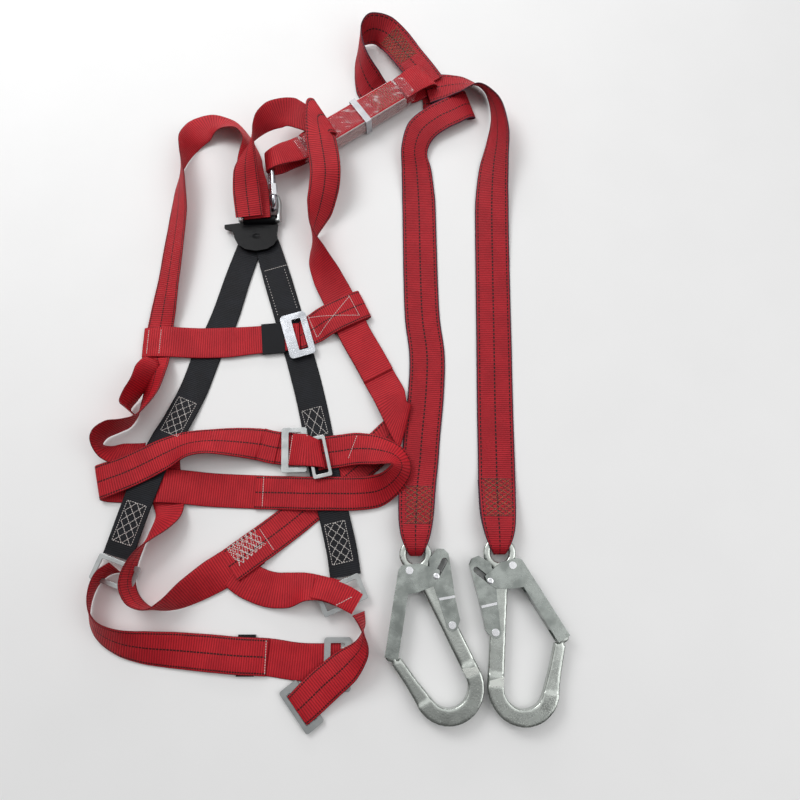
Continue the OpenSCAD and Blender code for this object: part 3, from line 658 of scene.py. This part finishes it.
# ---------------------------------------------------------------- hardware
# angles between faces, then SAME_POINT in metres and the other lengths in millimetres
BEVEL_ABOVE = math.radians(38)
HARD_ABOVE = math.radians(34)
FLAT_BELOW = math.radians(0.6)
SAME_POINT = 0.000004
FORGING_VOXEL = 1.3
FORGING_PASSES = 9
TURNED_SIDES = 32
TURNED_HARD = math.radians(50)
PLATE_EDGE = 0.12


def hardened(mesh):
    """Keeps the flat faces of a bevelled mesh flat: each corner takes its normal from the large faces."""
    mesh.update()
    around = [[] for _ in mesh.vertices]
    for polygon in mesh.polygons:
        for v in polygon.vertices:
            around[v].append(polygon)
    normals = []
    for polygon in mesh.polygons:
        for v in polygon.vertices:
            total = Vector((0.0, 0.0, 0.0))
            for other in around[v]:
                if other.normal.dot(polygon.normal) > math.cos(HARD_ABOVE):
                    total += other.normal * other.area
            normals.append(total.normalized() if total.length > 0.0 else polygon.normal)
    mesh.normals_split_custom_set(normals)


def rounded(node, finish, radius):
    """Stands for a CAD node with its edges broken, as pressed or moulded edges are."""
    mesh = frame["nodes"][node].data.copy()
    form = bmesh.new()
    form.from_mesh(mesh)
    bmesh.ops.remove_doubles(form, verts=form.verts, dist=SAME_POINT)
    bmesh.ops.dissolve_limit(form, angle_limit=FLAT_BELOW, verts=form.verts, edges=form.edges)
    sharp = [e for e in form.edges if len(e.link_faces) == 2 and e.calc_face_angle() > BEVEL_ABOVE]
    bmesh.ops.bevel(form, geom=sharp, offset=radius * MM, segments=2, profile=0.5,
                    affect="EDGES", clamp_overlap=True)
    form.to_mesh(mesh)
    form.free()
    shaded_smooth(mesh)
    mesh.set_sharp_from_angle(angle=HARD_ABOVE)
    hardened(mesh)
    piece = linked(node + "_finished", mesh)
    coat(piece, finish)
    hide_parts(node)
    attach(piece, frame["nodes"][node]["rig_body"])
    return piece


def forged(node, finish):
    """Stands for a CAD node with the soft, full edges of a drop forging."""
    piece = linked(node + "_finished", frame["nodes"][node].data.copy())
    remesh = piece.modifiers.new("remesh", "REMESH")
    remesh.mode = "VOXEL"
    remesh.voxel_size = FORGING_VOXEL * MM
    smooth = piece.modifiers.new("smooth", "SMOOTH")
    smooth.iterations = FORGING_PASSES
    smooth.factor = 0.6
    shaped = bpy.data.meshes.new_from_object(piece.evaluated_get(bpy.context.evaluated_depsgraph_get()))
    piece.modifiers.clear()
    piece.data = shaped
    shaded_smooth(shaped)
    coat(piece, finish)
    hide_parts(node)
    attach(piece, frame["nodes"][node]["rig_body"])
    return piece


# each node's finish, the radius of its edges in millimetres and its slot
HARDWARE = {
    "chest_buckle": (POLISHED, 1.0, "plated_steel"), "waist_frame_left": (ZINC, 0.9, "zinc_steel"),
    "waist_frame_right": (ZINC, 0.9, "zinc_steel"), "hip_link_left": (ZINC, 1.0, "zinc_steel"),
    "hip_link_right": (ZINC, 1.0, "zinc_steel"), "leg_buckle": (ZINC, 0.8, "zinc_steel"),
    "leg_plate": (ZINC, 0.8, "zinc_steel"), "connector_body": (CHROME, 0.2, "plated_steel"),
    "connector_sleeve": (BRIGHT, 0.4, "plated_steel"), "d_ring": (ZINC, 0.2, "zinc_steel"),
    "dorsal_pad": (MOULDED, 1.2, "black_plastic"), "absorber_band": (FOIL, 0.3, "plated_steel"),
    "chest_keeper": (ELASTIC, 0.5, "elastic"), "leg_keeper": (ELASTIC, 0.5, "elastic"),
}
for hand in ("left", "right"):
    HARDWARE["hook_%s_gate" % hand] = (PRESSED, 0.5, "zinc_steel")
    HARDWARE["hook_%s_lever" % hand] = (PRESSED, 0.5, "zinc_steel")
    HARDWARE["hook_%s_gate_rivet" % hand] = (BRIGHT, 0.6, "plated_steel")
    HARDWARE["hook_%s_lever_rivet" % hand] = (BRIGHT, 0.6, "plated_steel")
for node, (finish, radius, slot) in HARDWARE.items():
    rounded(node, finish, radius)
for hand in ("left", "right"):
    forged("hook_%s_body" % hand, FORGED)


def turned_part(name, profile, where, finish, body, stretch=1.0):
    """A small round part turned from its profile of (radius, height) pairs, in millimetres."""
    points = []
    for radius, height in profile:
        for k in range(TURNED_SIDES):
            angle = 2.0 * math.pi * k / TURNED_SIDES
            x = where[0] + radius * stretch * math.cos(angle)
            y = where[1] + radius * math.sin(angle)
            points.append(place(x, y, where[2] + height))
    faces = tube_faces(len(profile), TURNED_SIDES)
    faces.append(tuple(range(TURNED_SIDES - 1, -1, -1)))
    faces.append(tuple(range(len(points) - TURNED_SIDES, len(points))))
    mesh = bpy.data.meshes.new(name)
    mesh.from_pydata(points, [], faces)
    shaded_smooth(mesh)
    mesh.set_sharp_from_angle(angle=TURNED_HARD)
    piece = linked(name, mesh)
    coat(piece, finish)
    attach(piece, body)


def plate(name, outline, low, high, finish, body, slot):
    """A small flat plate between two heights over an outline in millimetres, its edges broken."""
    form = bmesh.new()
    face = form.faces.new([form.verts.new(place(x, y, low)) for x, y in outline])
    raised = bmesh.ops.extrude_face_region(form, geom=[face])
    for vertex in raised["geom"]:
        if isinstance(vertex, bmesh.types.BMVert):
            vertex.co.z += (high - low) * MM
    bmesh.ops.recalc_face_normals(form, faces=form.faces)
    bmesh.ops.bevel(form, geom=list(form.edges), offset=PLATE_EDGE * MM, segments=2, profile=0.5,
                    affect="EDGES")
    mesh = bpy.data.meshes.new(name)
    form.to_mesh(mesh)
    form.free()
    piece = linked(name, mesh)
    coat(piece, finish)
    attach(piece, body)


# outlines on the hooks start at the eye; heights are in the part's drawing
HOOK_EYES = {"left": (110.0, -329.0), "right": (218.0, -327.0)}
HOOK_RIGHT_TURN = math.radians(22.0)
TAIL_PIN = (26.0, -27.0)
RIVET_HEAD = [(3.9, -0.3), (3.9, 0.25), (3.4, 0.55), (1.9, 0.6), (1.7, 0.25), (0.4, 0.2)]
GATE_TOP = 21.2
# FACET outlines a thin plate just above the hook's top, which carries that painted highlight
FACET = [(56.0, -136.8), (74.6, -134.3), (77.4, -140.6), (61.4, -147.0)]
FACET_HEIGHTS = (17.7, 18.65)
LEVER_STEP = [(28.6, -53.5), (48.8, -50.0), (49.2, -53.2), (29.6, -56.6)]
LEVER_STEP_HEIGHTS = (18.6, 19.3)
PAD_MARK = [(4.6, -0.2), (4.4, 0.5), (3.4, 0.55), (3.0, 0.1), (0.5, 0.1)]
PAD_MARK_AT = (-120.0, 126.0, 10.8)


def on_hook(hand, x, y):
    """A point of the hook's own drawing, which starts at its eye, in the part's drawing."""
    eye = HOOK_EYES[hand]
    if hand == "left":
        return eye[0] + x, eye[1] + y
    c, n = math.cos(HOOK_RIGHT_TURN), math.sin(HOOK_RIGHT_TURN)
    return eye[0] - x * c - y * n, eye[1] - x * n + y * c


for hand in HOOK_EYES:
    turned_part("hook_%s_tail_head" % hand, RIVET_HEAD, (*on_hook(hand, *TAIL_PIN), GATE_TOP), BRIGHT,
                "hook_%s_gate" % hand)
    # a thin plate whose brighter finish is a painted highlight on the hook's facet
    plate("hook_%s_facet" % hand, [on_hook(hand, x, y) for x, y in FACET], *FACET_HEIGHTS,
          FACET_HIGHLIGHT, "hook_%s" % hand, "zinc_steel")
    plate("hook_%s_lever_step" % hand, [on_hook(hand, x, y) for x, y in LEVER_STEP], *LEVER_STEP_HEIGHTS,
          BRIGHT, "hook_%s_lever" % hand, "zinc_steel")
turned_part("pad_mark", PAD_MARK, PAD_MARK_AT, MOULDED, "webbing", stretch=1.5)

# ---------------------------------------------------------------- shock absorber
# the folded pack's middle and direction, its size, its layers and the film over it, in millimetres
PACK_AT = (30.0, 326.0)
PACK_TURN = math.radians(35.0)
PACK_W = 42.0
PACK_H = 24.0
FOLD_COUNT = 7
FOLD_STEPS = 6
FOLD_W = PACK_W - 1.6
FOLD_T = 3.0
FOLD_GAP = (PACK_H - 2.6) / (FOLD_COUNT - 1)
FOLD_BULGE = 1.8
FOLD_LOW, FOLD_HIGH, FOLD_BASE = -96.0, 69.0, 5.0
COVER_LOW, COVER_HIGH = -113.0, 88.0
COVER_RINGS = 90
COVER_SIDES = 56
COVER_T = 0.35
COVER_LIFT = 3.4


def pack_to_row(x, y, z):
    """A point of the absorber's own drawing, its length along X, as metres in the row frame."""
    turn = Matrix.Rotation(PACK_TURN, 3, "Z")
    return place(*(turn @ Vector((x, y, z)) + Vector((PACK_AT[0], PACK_AT[1], 0.0))))


def folded_route():
    """The tear webbing, laid back and forth in flat layers with uneven ends."""
    route = []
    for layer in range(FOLD_COUNT):
        z = FOLD_BASE + FOLD_GAP * layer
        ends = (FOLD_LOW + 1.5 * (layer % 3), FOLD_HIGH - 2.0 * (layer % 2))
        start, stop = ends if layer % 2 == 0 else ends[::-1]
        step = (stop - start) / FOLD_STEPS
        for k in range(FOLD_STEPS + 1):
            route.append([start + step * k, 0.4 * (layer % 2), z, 90.0, 0.0, FOLD_W])
        if layer < FOLD_COUNT - 1:
            bulge = math.copysign(FOLD_BULGE, stop - start)
            route.append([stop + bulge, 0.0, z + FOLD_GAP * 0.5, 90.0, 0.0, FOLD_W])
    return route


folds, folds_length = ribbon("absorber_folds", folded_route(), HARNESS_W, thickness=FOLD_T, ripple=0.0,
                             to_row=pack_to_row, edged=True)
coat(folds, PLAIN, PLAIN, FOLDS)
STRAPS["absorber_folds"] = folds
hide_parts("absorber_core")
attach(folds, "webbing")


def cover():
    """A clear film sleeve, shrunk round the folded webbing, pinched towards its open ends."""
    points = []
    for k in range(COVER_RINGS):
        part = k / (COVER_RINGS - 1)
        x = COVER_LOW + (COVER_HIGH - COVER_LOW) * part
        # pinch is 0 over the folds and grows from there towards both open ends
        low_end = max(0.0, (FOLD_LOW + 4.0 - x) / 22.0)
        high_end = max(0.0, (x - FOLD_HIGH - 2.0) / 26.0)
        pinch = min(1.0, low_end + high_end)
        half_w = (PACK_W * 0.5 + 0.6) * (1.0 - 0.06 * pinch)
        half_h = (PACK_H * 0.5 + 0.9) * (1.0 - 0.34 * pinch)
        middle = FOLD_BASE - 1.2 + PACK_H * 0.5 + COVER_LIFT * pinch
        for s in range(COVER_SIDES):
            angle = 2.0 * math.pi * s / COVER_SIDES
            c, n = math.cos(angle), math.sin(angle)
            y = math.copysign(abs(c) ** 0.34, c) * half_w
            z = math.copysign(abs(n) ** 0.5, n) * half_h
            crease = math.sin(x * 0.33 + 2.6 * math.sin(y * 0.16)) * math.sin(y * 0.22 + x * 0.05)
            lift = 0.55 * crease * (0.4 + pinch)
            ragged = 0.8 * math.sin(5.0 * angle) * pinch
            points.append(pack_to_row(x + ragged, y, max(0.6, middle + z + lift)))
    mesh = bpy.data.meshes.new("absorber_film")
    mesh.from_pydata(points, [], tube_faces(COVER_RINGS, COVER_SIDES))
    shaded_smooth(mesh)
    piece = linked("absorber_film", mesh)
    wall = piece.modifiers.new("wall", "SOLIDIFY")
    wall.thickness = COVER_T * MM
    coat(piece, FILM)
    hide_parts("absorber_cover")
    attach(piece, "webbing")


cover()

# ---------------------------------------------------------------- stitching
# the height that needles drop from, in millimetres, and the shortest stitch, in metres
SKY = 300.0
SHORTEST_STITCH = 0.0002


def surface(names):
    """The faces of the named pieces, as one tree that a needle can be dropped on."""
    vertices, faces = [], []
    for name in names:
        piece = STRAPS[name]
        start = len(vertices)
        vertices += [piece.matrix_world @ v.co for v in piece.data.vertices]
        faces += [[start + i for i in p.vertices] for p in piece.data.polygons]
    return BVHTree.FromPolygons(vertices, faces)


def dropped(tree, x, y):
    """Where a needle dropped at x, y meets the cloth, in metres, with the cloth's normal."""
    hit, normal, _, _ = tree.ray_cast(place(x, y, SKY), Vector((0.0, 0.0, -1.0)))
    if hit is None:
        return None, None
    return hit, normal if normal.z > 0 else -normal


class Seam:
    """Stitches of one thread, collected into one piece."""

    SIDES = 6
    # along the stitch, size and lift, the last two in half threads
    PROFILE = [(0.0, 0.45, -0.7), (0.16, 0.9, 0.15), (0.5, 1.0, 0.45), (0.84, 0.9, 0.15), (1.0, 0.45, -0.7)]

    def __init__(self, name, thread, finish):
        self.name = name
        self.half = thread * 0.5 * MM
        self.finish = finish
        self.points = []
        self.faces = []

    def stitch(self, a, b, normal):
        """One stitch, proud in its middle and sunk at both ends."""
        along = b - a
        if along.length < SHORTEST_STITCH:
            return
        side = along.cross(normal).normalized()
        up = side.cross(along).normalized()
        start = len(self.points)
        for part, size, lift in self.PROFILE:
            centre = a + along * part + up * (lift * self.half)
            for k in range(self.SIDES):
                angle = 2.0 * math.pi * k / self.SIDES
                outward = side * math.cos(angle) + up * math.sin(angle)
                self.points.append(centre + outward * self.half * size)
        self.faces += tube_faces(len(self.PROFILE), self.SIDES, start)
        last = len(self.points) - self.SIDES
        self.faces.append(tuple(range(start + self.SIDES - 1, start - 1, -1)))
        self.faces.append(tuple(range(last, last + self.SIDES)))

    def line(self, tree, corners, pitch=3.2, share=0.86):
        """A row of stitches through the given corners, in millimetres."""
        for (x0, y0), (x1, y1) in zip(corners, corners[1:]):
            count = max(1, round(math.hypot(x1 - x0, y1 - y0) / pitch))
            for k in range(count):
                u0, u1 = k / count, (k + share) / count
                a, up = dropped(tree, x0 + (x1 - x0) * u0, y0 + (y1 - y0) * u0)
                b, _ = dropped(tree, x0 + (x1 - x0) * u1, y0 + (y1 - y0) * u1)
                if a and b and (b - a).length < 2.5 * pitch * MM:
                    self.stitch(a, b, up)

    def lattice(self, tree, start, end, width, columns, period):
        """Crossing zigzags side by side, as on a sewn load joint."""
        a, b = Vector(start), Vector(end)
        along = (b - a).normalized()
        side = Vector((-along.y, along.x))
        cell = width / columns
        turns = max(2, 2 * round((b - a).length / period))
        for column in range(columns):
            middle = side * cell * (column + 0.5 - columns * 0.5)
            for sign in (1, -1):
                swing = side * cell * 0.48 * sign
                corners = []
                for k in range(turns + 1):
                    corners.append(a + (b - a) * (k / turns) + middle + (swing if k % 2 else -swing))
                self.line(tree, corners, 3.0, 0.9)

    def frame(self, tree, start, end, width):
        """A row of stitches round a sewn box."""
        a, b = Vector(start), Vector(end)
        along = (b - a).normalized()
        side = Vector((-along.y, along.x)) * width * 0.5
        self.line(tree, [a + side, b + side, b - side, a - side, a + side], 3.2, 0.7)

    def done(self):
        """Makes the piece."""
        mesh = bpy.data.meshes.new(self.name)
        mesh.from_pydata(self.points, [], self.faces)
        shaded_smooth(mesh)
        piece = linked(self.name, mesh)
        coat(piece, self.finish)
        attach(piece, "webbing")


bpy.context.view_layer.update()
CLOTH = surface(STRAPS)
FOLDED = surface(["absorber_folds"])

white = Seam("white_stitching", 0.85, WHITE_THREAD)
# the right back strap, below the pad
white.line(CLOTH, [(-107, 73), (-75, 83)], 3.0, 0.94)
for start, end in (((-105, 66), (-84, 3)), ((-78, 76), (-57, 14))):
    white.line(CLOTH, [start, end], 4.4, 0.45)
# the four load joints of the back straps
for start, end in (((-203, -121), (-222, -169)), ((-256, -263), (-272, -314)),
                   ((-32, -133), (-21, -171)), ((4, -288), (16, -339))):
    white.lattice(CLOTH, start, end, 24, 2, 28.0)
    white.frame(CLOTH, start, end, 27)
# single rows: chest straps, belt and legs
for start, end in (((-264, -20), (-264, -56)), ((-246, -20), (-246, -56)), ((-41, 2), (-27, -30)),
                   ((17, 31), (33, 0)), ((-55, -172), (-59, -211)), ((32, -173), (21, -204)),
                   ((-92, -227), (-92, -267)), ((-78, -434), (-78, -474)), ((10, -391), (30, -381))):
    white.line(CLOTH, [start, end], 3.0)
# the cross on the right chest strap
for start, end in (((-40, 0), (32, 1)), ((-26, -29), (18, 30))):
    white.line(CLOTH, [start, end], 3.4)
# the joint of the hip straps
white.lattice(CLOTH, (-96, -302), (-128, -330), 36, 3, 15.0)
white.lattice(CLOTH, (-97, -305), (-127, -331), 34, 2, 12.0)
white.line(CLOTH, [(-94, -296), (-74, -323)], 2.8)
white.done()

# the lanyard's joints, one above each hook and one on its centre piece, and the absorber's two
dark = Seam("dark_stitching", 0.8, DARK_THREAD)
brown = Seam("brown_stitching", 0.8, BROWN_THREAD)
for x, low, high in ((115, -290, -240), (219, -280, -230)):
    dark.lattice(CLOTH, (x, low), (x, high), 38, 4, 12.0)
    brown.lattice(CLOTH, (x + 1, low), (x + 1, high), 36, 3, 16.0)
    for y in (low, high):
        dark.line(CLOTH, [(x - 20, y), (x + 20, y)], 3.0)
brown.lattice(CLOTH, (72, 476), (104, 434), 34, 4, 10.0)
dark.lattice(CLOTH, (72, 476), (104, 434), 32, 3, 13.0)
for low, high in ((-94.0, -74.0), (22.0, 64.0)):
    ends = [[c / MM + m for c, m in zip(pack_to_row(x, 0.0, 0.0), MIDDLE)] for x in (low, high)]
    brown.lattice(FOLDED, ends[0][:2], ends[1][:2], 34, 3, 12.0)
dark.done()
brown.done()

# ---------------------------------------------------------------- floor and light
# in metres; the floor lies a little low, so that no webbing sinks into it
FLOOR_HALF = 6.0
FLOOR_Z = -0.0004

floor_mesh = bpy.data.meshes.new("floor")
floor_corners = [(x * FLOOR_HALF, y * FLOOR_HALF, 0.0) for x, y in ((-1, -1), (1, -1), (1, 1), (-1, 1))]
floor_mesh.from_pydata(floor_corners, [], [(0, 1, 2, 3)])
floor = linked("floor", floor_mesh)
floor.location.z = FLOOR_Z
paper = Finish("paper", Roughness=0.85, Specular_IOR_Level=0.2)
paper.colour(paper.mix(paper.noise(9.0), (0.86, 0.86, 0.86, 1.0), (0.9, 0.9, 0.9, 1.0)))
coat(floor, paper.material)

# a soft sky, brightest overhead and darker towards -Y, which gives the metal something to mirror
world = bpy.data.worlds.new("studio")
world.use_nodes = True
sky_nodes, sky_links = world.node_tree.nodes, world.node_tree.links
sky = sky_nodes["Background"]
sky.inputs["Strength"].default_value = 1.06
direction = sky_nodes.new("ShaderNodeSeparateXYZ")
sky_links.new(sky_nodes.new("ShaderNodeTexCoord").outputs["Generated"], direction.inputs[0])


def sky_ramp(axis, interpolation, *numbers):
    """Brightness from one part of the direction; the numbers are from, to, bottom and top."""
    node = sky_nodes.new("ShaderNodeMapRange")
    node.interpolation_type = interpolation
    sky_links.new(direction.outputs[axis], node.inputs[0])
    for socket, number in zip(node.inputs[1:], numbers):
        socket.default_value = number
    return node.outputs[0]


both = sky_nodes.new("ShaderNodeMath")
both.operation = "MULTIPLY"
sky_links.new(sky_ramp(2, "LINEAR", 0.15, 0.85, 0.1, 1.0), both.inputs[0])
sky_links.new(sky_ramp(1, "SMOOTHSTEP", -0.24, 0.04, 0.16, 1.0), both.inputs[1])
sky_links.new(both.outputs[0], sky.inputs["Color"])
bpy.context.scene.world = world


def softbox(name, where, aim, size, power):
    """A rectangular lamp, in metres and watts."""
    light = bpy.data.lights.new(name, "AREA")
    light.shape = "RECTANGLE"
    light.size, light.size_y = size
    light.energy = power
    lamp = linked(name, light)
    lamp.location = where
    lamp.rotation_euler = (Vector(aim) - Vector(where)).to_track_quat("-Z", "Y").to_euler()


softbox("key", (-0.9, 1.0, 1.5), (0.0, 0.1, 0.0), (0.9, 0.9), 16.0)
softbox("fill", (1.3, -0.5, 1.3), (0.0, 0.0, 0.0), (1.2, 1.2), 7.0)
softbox("strip", (0.0, 1.5, 0.5), (0.0, 0.0, 0.0), (1.6, 0.25), 5.0)
bpy.context.scene.view_settings.view_transform = "Standard"

bpy.context.view_layer.update()
